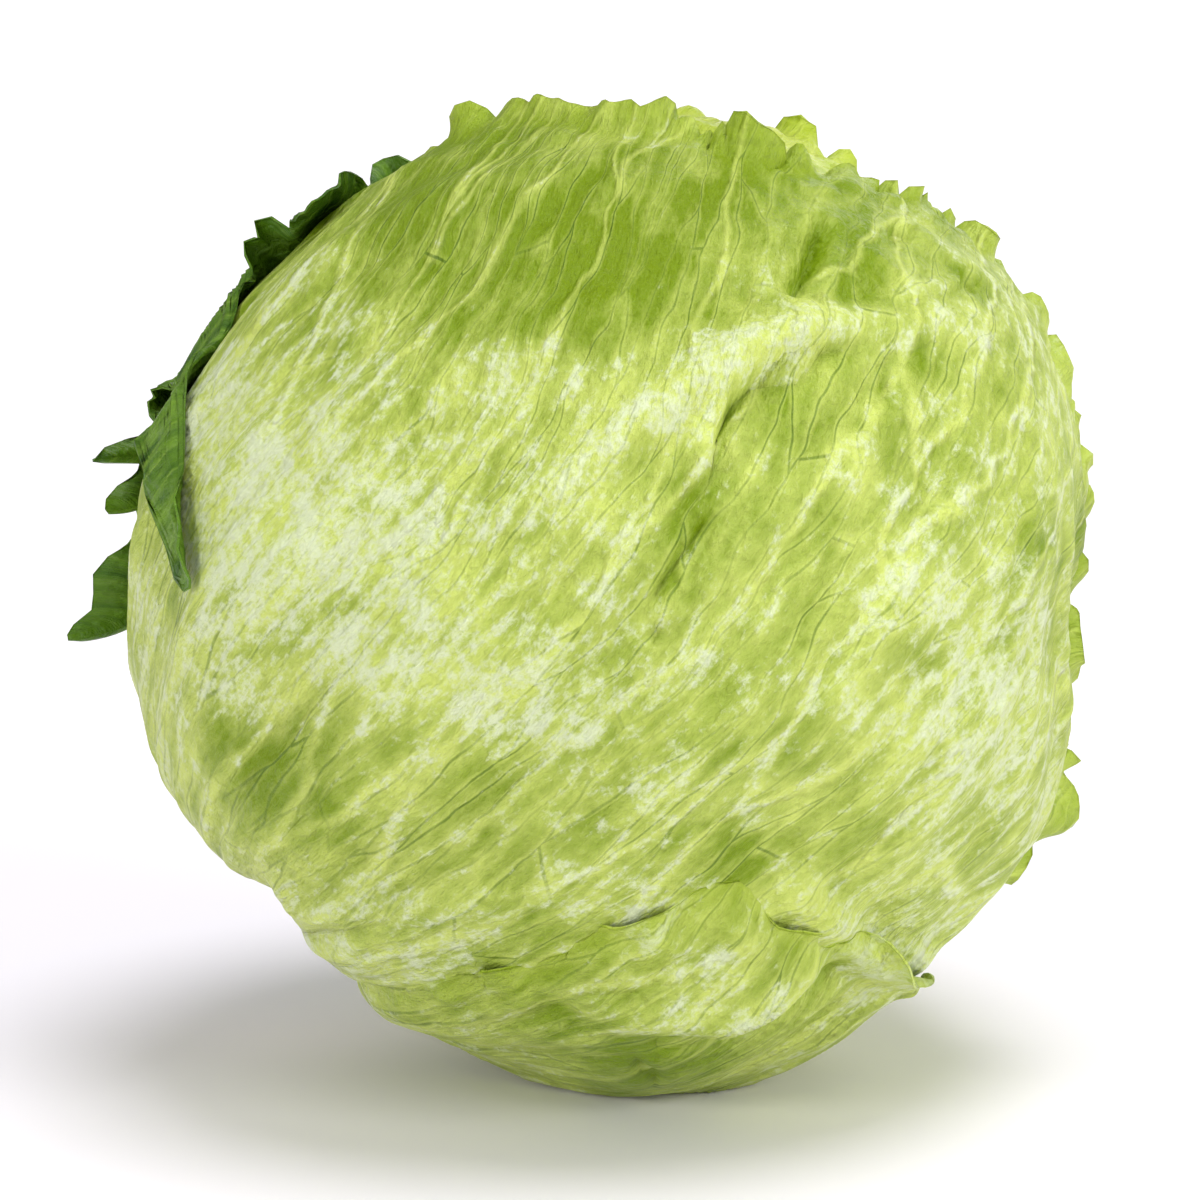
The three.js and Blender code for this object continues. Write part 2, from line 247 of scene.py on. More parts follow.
def outside(way):
    """Radius of the head's outside: hollow at the stem, with swells, pleats, shoulders and creases, and
    with long folds that run from the stem and fade out at both ends."""
    from_stem = np.arccos(np.clip(way @ STEM_WAY, -1, 1))
    turn = np.arctan2(way @ SIDE_WAY, way @ FRONT_WAY)
    pleat = np.sin(PLEATS * turn + 2 * np.sin(3 * from_stem)) * np.sin(from_stem) ** 2
    swells = (
        np.sin(4.1 * way[:, 0] + 2.3 * way[:, 2] + 0.5)
        + np.sin(3.7 * way[:, 1] - 3.1 * way[:, 0] + 1.9)
        + np.sin(5.2 * way[:, 2] + 2.9 * way[:, 1] + 4.2)
    )
    seen_at = np.degrees(np.arctan2(way[:, 2], way[:, 0]))
    shoulders = 0
    for at, height, width in SHOULDERS:
        off = (seen_at - at + 180) % 360 - 180
        shoulders = shoulders + height * np.exp(-((off / width) ** 2))
    hollow = HOLLOW_DEPTH * np.exp(-((from_stem / HOLLOW_WIDTH) ** 2))
    round_stem = np.stack([np.cos(turn), np.sin(turn)])
    long_folds = NARROW_FOLD * mottle(np.stack([*(14 * round_stem), 2.8 * from_stem], axis=1))
    long_folds += WIDE_FOLD * mottle(np.stack([*(6 * round_stem), 2.1 * from_stem + 9], axis=1))
    long_folds *= smoothstep(from_stem, 0.3, 0.8) * smoothstep(np.pi - from_stem, 0.1, 0.7)
    folds = LUMP_HEIGHT * mottle(way * 6.5 + 3) * np.sin(from_stem) + long_folds + creases(way)
    swollen = HEAD_RADIUS - hollow + SWELL_HEIGHT * swells + PLEAT_HEIGHT * pleat
    return swollen + shoulders * (1 - way[:, 1] ** 2) + folds


RIB_HEIGHT = 2.6
RIB_HALF_WIDTH = np.radians(10)
RIB_LENGTH = np.radians(105)


def rib_height(across, up):
    """The fleshy midrib: widest and highest at the stem, gone near the tip."""
    left = np.maximum(0, 1 - up / RIB_LENGTH)
    return RIB_HEIGHT * left**1.5 * np.exp(-((across / (RIB_HALF_WIDTH * (0.35 + 0.65 * left))) ** 2))


def layers(way):
    """Each wrapper's place, cover and rib along a way, and the radius of the heart there."""
    places = [leaf.place(way) for leaf in WRAPPERS]
    covers = [1 - smoothstep(place[0], 1.0, SETTLE) for place in places]
    ribs = [cover * rib_height(place[2], place[3]) for cover, place in zip(covers, places)]
    down = np.maximum(1e-6, -way[:, 2])
    floor = np.where(way[:, 2] < 0, REST_HEIGHT / down - sum(ribs), 1e9)
    return places, covers, ribs, np.minimum(outside(way), floor) - LEAF_PITCH * sum(covers)


OFF_TABLE = 0.1 * MM


def new_piece(name, points, faces, attributes, material):
    """One smooth mesh piece in the row frame. points are millimetres from the head's middle."""
    mesh = bpy.data.meshes.new(name)
    placed = points * MM + np.array((0, 0, REST_HEIGHT * MM))
    placed[:, 2] = np.maximum(placed[:, 2], OFF_TABLE)
    mesh.from_pydata(placed, [], faces)
    mesh.polygons.foreach_set("use_smooth", np.ones(len(mesh.polygons), bool))
    for label, values in attributes.items():
        layer = mesh.attributes.new(label, "FLOAT_VECTOR", "POINT")
        layer.data.foreach_set("vector", values.astype(np.float32).ravel())
    mesh.update()
    mesh.materials.append(material)
    piece = bpy.data.objects.new(name + "_look", mesh)
    bpy.context.scene.collection.objects.link(piece)
    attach(piece, "root")
    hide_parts(name)
    return piece


class Recipe:
    """Adds nodes to the tree of a material or of a group, and joins them."""

    def __init__(self, tree):
        self.tree = tree

    def feed(self, socket, value):
        if isinstance(value, bpy.types.NodeSocket):
            self.tree.links.new(value, socket)
        else:
            socket.default_value = value

    def node(self, kind, feeds=(), **settings):
        made = self.tree.nodes.new(kind)
        for key, value in settings.items():
            setattr(made, key, value)
        for socket, value in dict(feeds).items():
            self.feed(made.inputs[socket], value)
        return made

    def math(self, operation, *values, clamp=False):
        made = self.node("ShaderNodeMath", enumerate(values), operation=operation, use_clamp=clamp)
        return made.outputs[0]

    def fade(self, value, low, high):
        """0 below low and 1 above high, or the reverse where low is the larger."""
        feeds = {"Value": value, "From Min": low, "From Max": high}
        return self.node("ShaderNodeMapRange", feeds, interpolation_type="SMOOTHSTEP").outputs[0]

    def mix(self, share, first, second):
        """Colour first where share is 0 and second where it is 1."""
        return self.node("ShaderNodeMix", {0: share, 6: first, 7: second}, data_type="RGBA").outputs[2]

    def noise(self, where, scale, detail=3.0, roughness=0.5):
        feeds = {"Vector": where, "Scale": scale, "Detail": detail, "Roughness": roughness}
        return self.node("ShaderNodeTexNoise", feeds).outputs[0]

    def vector(self, x, y, z=0.0):
        return self.node("ShaderNodeCombineXYZ", {0: x, 1: y, 2: z}).outputs[0]

    def parts(self, vector):
        return self.node("ShaderNodeSeparateXYZ", {0: vector}).outputs

    def attribute(self, name):
        return self.node("ShaderNodeAttribute", attribute_name=name).outputs["Vector"]


def new_group(name, takes, gives):
    """An empty node group with named inputs and outputs."""
    tree = bpy.data.node_groups.new(name, "ShaderNodeTree")
    for way, sockets in (("INPUT", takes), ("OUTPUT", gives)):
        for label, kind in sockets.items():
            tree.interface.new_socket(label, in_out=way, socket_type="NodeSocket" + kind)
    recipe = Recipe(tree)
    return recipe, recipe.node("NodeGroupInput").outputs, recipe.node("NodeGroupOutput").inputs


# Veins fan out from the leaf's base. The net's cells are long along the fan, and their sides are the
# veins: Distance is how far a place lies from the nearest one, in millimetres.
net, takes, gives = new_group(
    "vein_net",
    {
        "Fan": "Vector",
        "Veins per Radian": "Float",
        "Joints per Radian": "Float",
        "Bend": "Float",
        "Shift": "Float",
    },
    {"Distance": "Float"},
)
fan_x, fan_y, _ = net.parts(takes["Fan"])
bend_place = net.vector(net.math("MULTIPLY", fan_x, 5.0), net.math("MULTIPLY", fan_y, 4.0), takes["Shift"])
bend = net.noise(bend_place, 1.0, 2.0)
bent = net.math("MULTIPLY", net.math("SUBTRACT", bend, 0.5), takes["Bend"])
cell_x = net.math("MULTIPLY", net.math("ADD", fan_x, bent), takes["Veins per Radian"])
cell_y = net.math("ADD", net.math("MULTIPLY", fan_y, takes["Joints per Radian"]), takes["Shift"])
cells = net.vector(cell_x, cell_y)
cell_feeds = {"Vector": cells, "Scale": 1.0}
first = net.node("ShaderNodeTexVoronoi", cell_feeds, voronoi_dimensions="2D", feature="F1")
second = net.node("ShaderNodeTexVoronoi", cell_feeds, voronoi_dimensions="2D", feature="F2")
middles = {0: second.outputs["Position"], 1: first.outputs["Position"]}
apart = net.node("ShaderNodeVectorMath", middles, operation="SUBTRACT")
apart_x, apart_y, _ = net.parts(apart.outputs[0])
squares = net.math(
    "SUBTRACT",
    net.math("POWER", second.outputs["Distance"], 2.0),
    net.math("POWER", first.outputs["Distance"], 2.0),
)
breadth = net.math("MULTIPLY", net.math("MAXIMUM", fan_y, 0.1), HEAD_RADIUS)
scale_x = net.math("DIVIDE", takes["Veins per Radian"], breadth)
scale_y = net.math("DIVIDE", takes["Joints per Radian"], HEAD_RADIUS)
slope = net.math(
    "SQRT",
    net.math(
        "ADD",
        net.math("POWER", net.math("MULTIPLY", apart_x, scale_x), 2.0),
        net.math("POWER", net.math("MULTIPLY", apart_y, scale_y), 2.0),
    ),
)
half_squares = net.math("MULTIPLY", squares, 0.5)
net.feed(gives["Distance"], net.math("DIVIDE", half_squares, net.math("MAXIMUM", slope, 1e-5)))

# Leaf tissue: pale and watery along the veins, greener between them, with thin green lines along the fine
# veins; where these lines are darker than the tissue round them they are painted shade of the grooves the
# veins lie in. Tone holds how green a place is, how much painted glint it has, and how near the free edge
# it lies. Painted glint is white highlight of the moist surface painted into the colour; the crinkles also
# get painted light, paler on their raised tops and greener, as painted shade, in their hollows. Noise on
# the object's place has its scale in lumps per metre, and noise on the fan in lumps per radian. Vein lines
# have theirs in millimetres: full up to the first width, and gone at the second.
tissue, takes, gives = new_group(
    "leaf_tissue",
    {"Pale": "Color", "Green": "Color", "Vein": "Color", "Edge": "Color", "Painted Glint": "Color"},
    {"Color": "Color", "Roughness": "Float", "Height": "Float"},
)
fan = tissue.attribute("fan")
fan_x, fan_y, _ = tissue.parts(fan)
green, glint_share, edge = tissue.parts(tissue.attribute("tone"))
object_place = tissue.node("ShaderNodeTexCoord").outputs["Object"]


def vein_distance(per_radian, joints, bend, shift):
    """How far a place lies from the nearest vein of a net."""
    placed = tissue.node("ShaderNodeGroup", node_tree=bpy.data.node_groups["vein_net"])
    values = (fan, per_radian, joints, bend, shift)
    for socket, value in zip(("Fan", "Veins per Radian", "Joints per Radian", "Bend", "Shift"), values):
        tissue.feed(placed.inputs[socket], value)
    return placed.outputs["Distance"]


main = vein_distance(per_radian=5.0, joints=0.6, bend=0.12, shift=3.0)
near_fine = vein_distance(per_radian=13.0, joints=1.1, bend=0.09, shift=9.0)
far_fine = vein_distance(per_radian=20.0, joints=1.8, bend=0.08, shift=15.0)
outer_share = tissue.fade(fan_y, 0.75, 1.15)


def blend(share, first, second):
    """Number first where share is 0 and second where it is 1."""
    return tissue.math("ADD", first, tissue.math("MULTIPLY", share, tissue.math("SUBTRACT", second, first)))


def line(distance, inner, outer):
    """1 along a vein, as far as inner from it, and 0 from outer on."""
    return tissue.fade(distance, outer, inner)


fine_line = blend(outer_share, line(near_fine, 0.12, 0.42), line(far_fine, 0.12, 0.42))
fine_flank = blend(outer_share, line(near_fine, 0.35, 1.6), line(far_fine, 0.35, 1.6))
pillow = blend(outer_share, tissue.fade(near_fine, 0.0, 2.6), tissue.fade(far_fine, 0.0, 2.6))
main_rib = line(main, 0.2, 2.8)
stretched = tissue.vector(tissue.math("MULTIPLY", fan_x, 9.0), tissue.math("MULTIPLY", fan_y, 3.2))
streaks = tissue.noise(stretched, 1.6, 5.0, 0.62)
blotches = tissue.noise(object_place, 60.0, 4.0, 0.6)
crinkle_place = tissue.vector(tissue.math("MULTIPLY", fan_x, 42.0), tissue.math("MULTIPLY", fan_y, 13.0))
crinkle = tissue.noise(crinkle_place, 1.0, 5.0, 0.65)
grit = tissue.noise(object_place, 900.0, 3.0, 0.7)
patches = tissue.noise(object_place, 170.0, 3.0, 0.6)
pebble_feeds = {"Vector": object_place, "Scale": 520.0, "Smoothness": 0.4}
pebbles = tissue.node("ShaderNodeTexVoronoi", pebble_feeds, feature="SMOOTH_F1").outputs["Distance"]
patchy = tissue.fade(tissue.noise(stretched, 0.7, 2.0), 0.38, 0.6)


def swing_by(value, amount):
    """A mask's part in a sum: amount times how far it lies from its middle, 0.5."""
    return tissue.math("MULTIPLY", tissue.math("SUBTRACT", value, 0.5), amount)


greenness = tissue.math("ADD", green, swing_by(streaks, 1.7))
greenness = tissue.math("ADD", greenness, swing_by(blotches, 1.3))
greenness = tissue.math("ADD", greenness, swing_by(pillow, 0.2))
# Painted light on the crinkles: greener in their hollows as painted shade, paler on their raised tops.
greenness = tissue.math("SUBTRACT", greenness, swing_by(crinkle, 1.0))
greenness = tissue.math("SUBTRACT", greenness, tissue.math("MULTIPLY", main_rib, 0.4), clamp=True)
colour = tissue.mix(greenness, takes["Pale"], takes["Green"])
colour = tissue.mix(tissue.math("MULTIPLY", fine_flank, blend(patchy, 0.08, 0.22)), colour, takes["Pale"])
colour = tissue.mix(tissue.math("MULTIPLY", line(main, 0.1, 1.5), 0.3), colour, takes["Pale"])
# The fine vein lines take the Vein colour: on all but the outer leaf it is darker than the tissue, painted
# shade of the grooves the veins lie in; on the outer leaf the veins are paler.
line_strength = tissue.math("MULTIPLY", blend(greenness, 0.4, 0.95), blend(patchy, 0.35, 1.0))
line_strength = tissue.math("MULTIPLY", fine_line, line_strength)
colour = tissue.mix(line_strength, colour, takes["Vein"])
# Painted glint: white highlight of the moist surface painted into the colour, strongest where the tone's
# glint share is high, broken into specks by grit and patches, along streaks, and less where the tissue is
# greener.
painted_glint = tissue.math("ADD", tissue.math("MULTIPLY", glint_share, 0.8), swing_by(grit, 1.6))
painted_glint = tissue.math("ADD", painted_glint, swing_by(patches, 1.5))
painted_glint = tissue.math("ADD", painted_glint, swing_by(streaks, 1.0))
# The crinkles' raised tops get more painted highlight.
painted_glint = tissue.math("ADD", painted_glint, swing_by(crinkle, 1.6))
painted_glint = tissue.math("SUBTRACT", painted_glint, swing_by(greenness, 0.8))
colour = tissue.mix(tissue.math("MULTIPLY", tissue.fade(painted_glint, 0.25, 1.05), 0.85), colour, takes["Painted Glint"])
colour = tissue.mix(tissue.math("MULTIPLY", edge, 0.5), colour, takes["Edge"])
tissue.feed(gives["Color"], colour)
rough = tissue.math("ADD", 0.2, tissue.math("MULTIPLY", streaks, 0.25))
tissue.feed(gives["Roughness"], tissue.math("ADD", rough, tissue.math("MULTIPLY", grit, 0.15)))
height = tissue.math("MULTIPLY", main_rib, 0.5)
height = tissue.math("ADD", height, tissue.math("MULTIPLY", fine_flank, 0.1))
height = tissue.math("ADD", height, tissue.math("MULTIPLY", crinkle, 1.9))
height = tissue.math("SUBTRACT", height, tissue.math("MULTIPLY", pebbles, 0.55))
across_place = tissue.vector(tissue.math("MULTIPLY", fan_x, 9.0), tissue.math("MULTIPLY", fan_y, 34.0))
cross_wrinkles = tissue.math("MULTIPLY", tissue.noise(across_place, 1.0, 3.0), tissue.fade(fan_y, 1.2, 0.6))
height = tissue.math("ADD", height, tissue.math("MULTIPLY", cross_wrinkles, 1.2))
tissue.feed(gives["Height"], tissue.math("ADD", height, tissue.math("MULTIPLY", grit, 0.3)))


# The colour of the painted glint: white highlight of the moist leaf, painted into its colour.
GLINT_WHITE = (0.78, 0.86, 0.58)
LEAF_GLOSS = 0.36
LEAF_DEPTH = 0.12


def leaf_finish(name, pale, green, vein, edge, painted_glint=GLINT_WHITE):
    """Living leaf: soft and moist, with light going a little way into it."""
    material = bpy.data.materials.new(name)
    material.use_nodes = True
    recipe = Recipe(material.node_tree)
    skin = material.node_tree.nodes["Principled BSDF"]
    placed = recipe.node("ShaderNodeGroup", node_tree=bpy.data.node_groups["leaf_tissue"])
    for socket, colour in zip(("Pale", "Green", "Vein", "Edge", "Painted Glint"), (pale, green, vein, edge, painted_glint)):
        placed.inputs[socket].default_value = (*colour, 1)
    bump_feeds = {"Height": placed.outputs["Height"], "Distance": MM, "Strength": 1.0}
    bump = recipe.node("ShaderNodeBump", bump_feeds)
    recipe.feed(skin.inputs["Base Color"], placed.outputs["Color"])
    recipe.feed(skin.inputs["Roughness"], placed.outputs["Roughness"])
    recipe.feed(skin.inputs["Normal"], bump.outputs[0])
    skin.inputs["Specular IOR Level"].default_value = LEAF_GLOSS
    skin.inputs["Subsurface Weight"].default_value = LEAF_DEPTH
    skin.inputs["Subsurface Radius"].default_value = (0.9, 1.0, 0.25)
    skin.inputs["Subsurface Scale"].default_value = MM
    return material


HEART_FINISH = leaf_finish(
    "heart_leaf",
    pale=(0.8, 0.84, 0.3),
    green=(0.62, 0.72, 0.1),
    vein=(0.5, 0.62, 0.06),
    edge=(0.7, 0.76, 0.2),
)
HEART_RELIEF = 0.9
HEART_CRUMPLE = 0.8
HEART_GREEN = 0.3
HEART_RINGS = 90
HEART_COLUMNS = 180


def heart_look():
    """A closed ball under the wrappers, with the edges of its own six leaves as steps."""
    tilts = np.repeat(np.linspace(0, np.pi, HEART_RINGS + 1)[1:-1], HEART_COLUMNS)
    turns = np.tile(np.arange(HEART_COLUMNS) * 2 * np.pi / HEART_COLUMNS, HEART_RINGS - 1)
    tilts, turns = np.append(tilts, (0, np.pi)), np.append(turns, (0, 0))
    out = FRONT_WAY * np.cos(turns)[:, None] + SIDE_WAY * np.sin(turns)[:, None]
    way = STEM_WAY * np.cos(tilts)[:, None] + out * np.sin(tilts)[:, None]
    base = layers(way)[3]
    under = sum(1 - smoothstep(leaf.place(way)[0], 1.0, 1.08) for leaf in HEART_LEAVES)
    radius = base - HEART_RELIEF * (len(HEART_LEAVES) - under) + HEART_CRUMPLE * mottle(way * 9)
    rows = np.arange(HEART_RINGS - 2)[:, None] * HEART_COLUMNS
    here = np.arange(HEART_COLUMNS)
    after = (here + 1) % HEART_COLUMNS
    corners = (rows + here, rows + after, rows + HEART_COLUMNS + after, rows + HEART_COLUMNS + here)
    faces = np.stack([corner.ravel() for corner in corners], axis=1).tolist()
    stem_end, far_end = len(way) - 2, len(way) - 1
    last = (HEART_RINGS - 2) * HEART_COLUMNS
    faces += [(stem_end, int(a), int(b)) for a, b in zip(here, after)]
    faces += [(far_end, int(last + b), int(last + a)) for a, b in zip(here, after)]
    fan = np.stack([turns - np.pi, tilts, 0 * tilts], axis=1)
    tone = np.stack([HEART_GREEN + 0 * tilts, 0 * tilts, 0 * tilts], axis=1)
    points = way * radius[:, None]
    return new_piece("heart", points, faces, {"fan": fan, "tone": tone}, HEART_FINISH)


heart_look()

# The stem
# The short stalk that all leaves grow from, cut off flat by a knife. The cut is moist, cream and a
# little browned at its rim and round the ring of sap vessels. The leaf bases are joined to its side.
STEM_RADIUS = 13
STEM_ROOT = 24
STEM_END = 74
STEM_TAPER = 34
CUT_BEVEL = 0.8
CUT_RINGS = 26
SIDE_RINGS = 18
STEM_COLUMNS = 120
CUT_CREAM = (0.82, 0.78, 0.52, 1)
CUT_OLIVE = (0.66, 0.62, 0.3, 1)
VESSEL_BROWN = (0.5, 0.34, 0.14, 1)
RIM_BROWN = (0.36, 0.19, 0.08, 1)
SIDE_GREEN = (0.72, 0.78, 0.4, 1)

stem_material = bpy.data.materials.new("cut_stem")
stem_material.use_nodes = True
cut = Recipe(stem_material.node_tree)
from_axis, on_cut, _ = cut.parts(cut.attribute("cut"))
object_place = cut.node("ShaderNodeTexCoord").outputs["Object"]
flesh = cut.noise(object_place, 260.0, 4.0, 0.6)
wobble = cut.math("ADD", from_axis, cut.math("MULTIPLY", cut.math("SUBTRACT", flesh, 0.5), 0.16))
vessels = cut.math("MULTIPLY", cut.fade(wobble, 0.5, 0.6), cut.fade(wobble, 0.74, 0.64))
rim = cut.fade(wobble, 0.82, 1.0)
colour = cut.mix(flesh, CUT_CREAM, CUT_OLIVE)
colour = cut.mix(cut.math("MULTIPLY", vessels, 0.55), colour, VESSEL_BROWN)
colour = cut.mix(cut.math("MULTIPLY", rim, cut.math("MULTIPLY", on_cut, 0.75)), colour, RIM_BROWN)
colour = cut.mix(cut.math("SUBTRACT", 0.5, cut.math("MULTIPLY", on_cut, 0.5)), colour, SIDE_GREEN)
pores = cut.node("ShaderNodeTexVoronoi", {"Vector": object_place, "Scale": 900.0}).outputs["Distance"]
skin = stem_material.node_tree.nodes["Principled BSDF"]
bump_height = cut.math("ADD", cut.math("MULTIPLY", flesh, 0.8), cut.math("MULTIPLY", pores, 0.25))
bump = cut.node("ShaderNodeBump", {"Height": bump_height, "Distance": MM, "Strength": 0.8})
cut.feed(skin.inputs["Base Color"], colour)
cut.feed(skin.inputs["Roughness"], cut.math("ADD", 0.45, cut.math("MULTIPLY", flesh, 0.3)))
cut.feed(skin.inputs["Normal"], bump.outputs[0])
skin.inputs["Subsurface Weight"].default_value = 0.2
skin.inputs["Subsurface Radius"].default_value = (1.0, 0.7, 0.3)
skin.inputs["Subsurface Scale"].default_value = 2 * MM


def stem_look():
    """A short stalk that tapers into the heart, with a slightly dished and ringed cut."""
    turns = np.arange(STEM_COLUMNS) * 2 * np.pi / STEM_COLUMNS
    ring = []
    for i in range(1, CUT_RINGS + 1):
        ring.append((i / CUT_RINGS, STEM_END, 1.0))
    for along in np.linspace(STEM_END - CUT_BEVEL, STEM_ROOT, SIDE_RINGS):
        taper = 0.45 + 0.55 * smoothstep(along, STEM_ROOT, STEM_ROOT + STEM_TAPER)
        ring.append((taper * 1.01, along, 0.0))
    points = [STEM_WAY * (STEM_END - 0.5)]
    cut_tone = [(0, 1, 0)]
    for share, along, on_cut in ring:
        for turn in turns:
            lump = 1 + 0.035 * np.sin(5 * turn + 1) + 0.03 * np.sin(8 * turn + 4) + 0.012 * np.sin(21 * turn)
            out = FRONT_WAY * np.cos(turn) + SIDE_WAY * np.sin(turn)
            dish = on_cut * (0.5 * (share**2 - 1) + 0.12 * np.sin(26 * share + 3 * np.sin(turn)))
            points.append(STEM_WAY * (along + dish) + out * STEM_RADIUS * share * lump)
            cut_tone.append((share, on_cut, 0))
    faces = []
    for column in range(STEM_COLUMNS):
        after = (column + 1) % STEM_COLUMNS
        faces.append((0, 1 + column, 1 + after))
        for row in range(len(ring) - 1):
            a = 1 + row * STEM_COLUMNS
            b = a + STEM_COLUMNS
            faces.append((a + column, b + column, b + after, a + after))
    last = 1 + (len(ring) - 1) * STEM_COLUMNS
    faces.append(tuple(last + column for column in reversed(range(STEM_COLUMNS))))
    return new_piece("stem", np.array(points), faces, {"cut": np.array(cut_tone)}, stem_material)


stem_look()

# The wrapper leaves
# Seven broad leaves, each one piece of soft tissue about half a millimetre thick with a fleshy base.
# Each grows from the stem, is cupped round the ones inside it, and ends in a frilled free edge.
EDGE_THICKNESS = 0.45
CRUMPLE = 2.4
PUCKER_HEIGHT = 0.5

# The frilled margin: its width, its rings of mesh, the lengths of its waves, how far it can turn down
# and up, in degrees, and how far it is tucked in at the stem.
FRILL = 10.0
FRILL_RINGS = 18
BROAD_WAVE = 17
CURL_WAVE = 10
SMALL_WAVE = 5.2
TURN_LIMITS = (-55, 150)
TUCK = 48

# A margin is free from where it comes out past the edges of the leaves laid over it.
COVERED = (1.0, 1.09)

# The scraps of a torn edge start this far in from the whole leaf's edge, and are drawn aside over this
# length.
TORN_OFF = 26
SWEEP_LENGTH = 60


def ripple(along, length, seed):
    """An uneven wave along a closed rim, with waves about length long and from about -1 to 1 high, and
    how far each of its places lies aside from the nearest crest, also from about -1 to 1."""
    total = along[-1] + (along[1] - along[0])
    chance = np.random.default_rng(seed)
    waves = max(3, round(total / length))
    counts = waves + np.array((-max(1, waves // 5), 0, max(1, waves // 4)))
    shifts = chance.random(5)
    uneven = along / total + 0.014 * np.sin(2 * np.pi * (4 * along / total + shifts[3]))
    uneven = uneven + 0.006 * np.sin(2 * np.pi * (11 * along / total + shifts[4]))
    angles = 2 * np.pi * (counts[:, None] * uneven + shifts[:3, None])
    return np.sin(angles).sum(axis=0) / 2.2, -np.cos(angles).sum(axis=0) / 2.2


# Greener and whiter places of the front, in millimetres: right of the middle, above it and how wide,
# and then how much greener and how much more painted glint. The whiter places are painted highlights,
# where the moist surface shines white. The greener places are partly greener tissue and partly painted
# shade where the head lies darker: at the top left, the lower left and the bottom, in the dark spot
# under the pale rib low on the left, and in the hollow above the low leaf's edge.
PATCHES = [
    (-50, 20, 24, -0.25, 0.22), (-46, -4, 24, -0.2, 0.26), (-36, 8, 14, -0.1, 0.15),
    (-28, 34, 15, -0.1, 0.12), (-24, 60, 20, 0.5, 0), (15, 68, 22, 0.2, 0), (-8, 44, 16, 0.2, 0),
    (-44, 43, 8, -0.1, 0.4), (8, 31, 9, -0.1, 0.2), (58, 5, 26, -0.3, 0.35), (58, -27, 14, -0.2, 0.4),
    (-51, -30, 9, 0.9, -0.3), (43, 52, 14, 0.12, 0.1), (5, -76, 14, 0.5, 0), (5, -45, 16, 0.0, 0.2),
    (12, 15, 14, 0.25, 0), (20, -12, 12, 0.15, 0.1), (-66, 30, 10, -0.2, 0.3), (52, -56, 14, -0.2, 0.25),
    (-12, -18, 10, -0.1, 0.35), (-14, -52, 7, 0.5, 0), (18, -42, 7, 0.5, 0), (70, 45, 14, -0.2, 0.4),
    (-25, -58, 10, 0.1, 0.3), (-8, 26, 16, -0.15, 0.15), (0, -10, 16, -0.1, 0.2),
    (10, -36, 14, -0.1, 0.12), (12, -60, 14, -0.2, 0.1),
]


def leaf_tone(way, across, up, edge):
    """How green, how much painted glint and how near the edge each place is: pale along the midrib, which
    also gets painted glint, and greener towards the leaf's far end and its sides. Raised creases are
    painted paler and glinting, as painted light, and dents greener, as painted shade."""
    from_base = np.hypot(across, up)
    side_to_side = np.abs(np.arctan2(across, up))
    green = 0.12 + 0.38 * smoothstep(from_base, 0.35, 2.0) + 0.18 * smoothstep(side_to_side, 0.5, 1.4)
    green += 0.22 * mottle(way * 3.1 + 5) + 0.12 * mottle(way * 8 + 2)
    glint_share = 0.12 * np.maximum(0, mottle(way * 3.7 + 11))
    x, y = HEAD_RADIUS * way[:, 0], HEAD_RADIUS * (way @ FRONT_UP)
    facing = smoothstep(way @ FRONT_OUT, -0.1, 0.25)
    # Greener patches add tissue tone and painted shade, whiter ones painted highlight.
    for right, high, size, greener, whiter in PATCHES:
        near = facing * np.exp(-((x - right) ** 2 + (y - high) ** 2) / size**2)
        green += greener * near
        glint_share += whiter * near
    raised = creases(way)
    left = np.maximum(0, 1 - up / RIB_LENGTH)
    rib = left * np.exp(-((across / (0.03 + 0.09 * left)) ** 2))
    # Painted light: raised creases and the lip paler with painted glint, dents greener as painted shade. The
    # midrib is paler tissue and also gets painted glint.
    green += 0.1 * edge - 0.16 * raised - 0.5 * rib
    glint_share += 0.05 * raised + 0.2 * rib
    return np.stack([green, np.clip(glint_share, 0, 1), edge], axis=1)


def bumps(spin, places, power=4):
    """Sum of bumps round the edge, pointed to blunt by power. Each has its spin and width, in degrees,
    and its height."""
    total = 0 * spin
    for at, width, height in places:
        off = (np.degrees(spin) - at + 180) % 360 - 180
        total = total + height * np.exp(-(np.abs(off / width) ** power))
    return total


def rim_places(leaf, columns):
    """Even steps along the whole leaf's outline: how far along it each lies, and its spin."""
    spins = np.linspace(0, 2 * np.pi, 2400)
    reaches = leaf.reach(spins)
    middle_reach = (reaches[1:] + reaches[:-1]) / 2
    steps = HEAD_RADIUS * np.hypot(np.sin(middle_reach) * np.diff(spins), np.diff(reaches))
    lengths = np.append(0, np.cumsum(steps))
    rim = np.arange(columns) * lengths[-1] / columns
    return rim, np.interp(rim, lengths, spins)


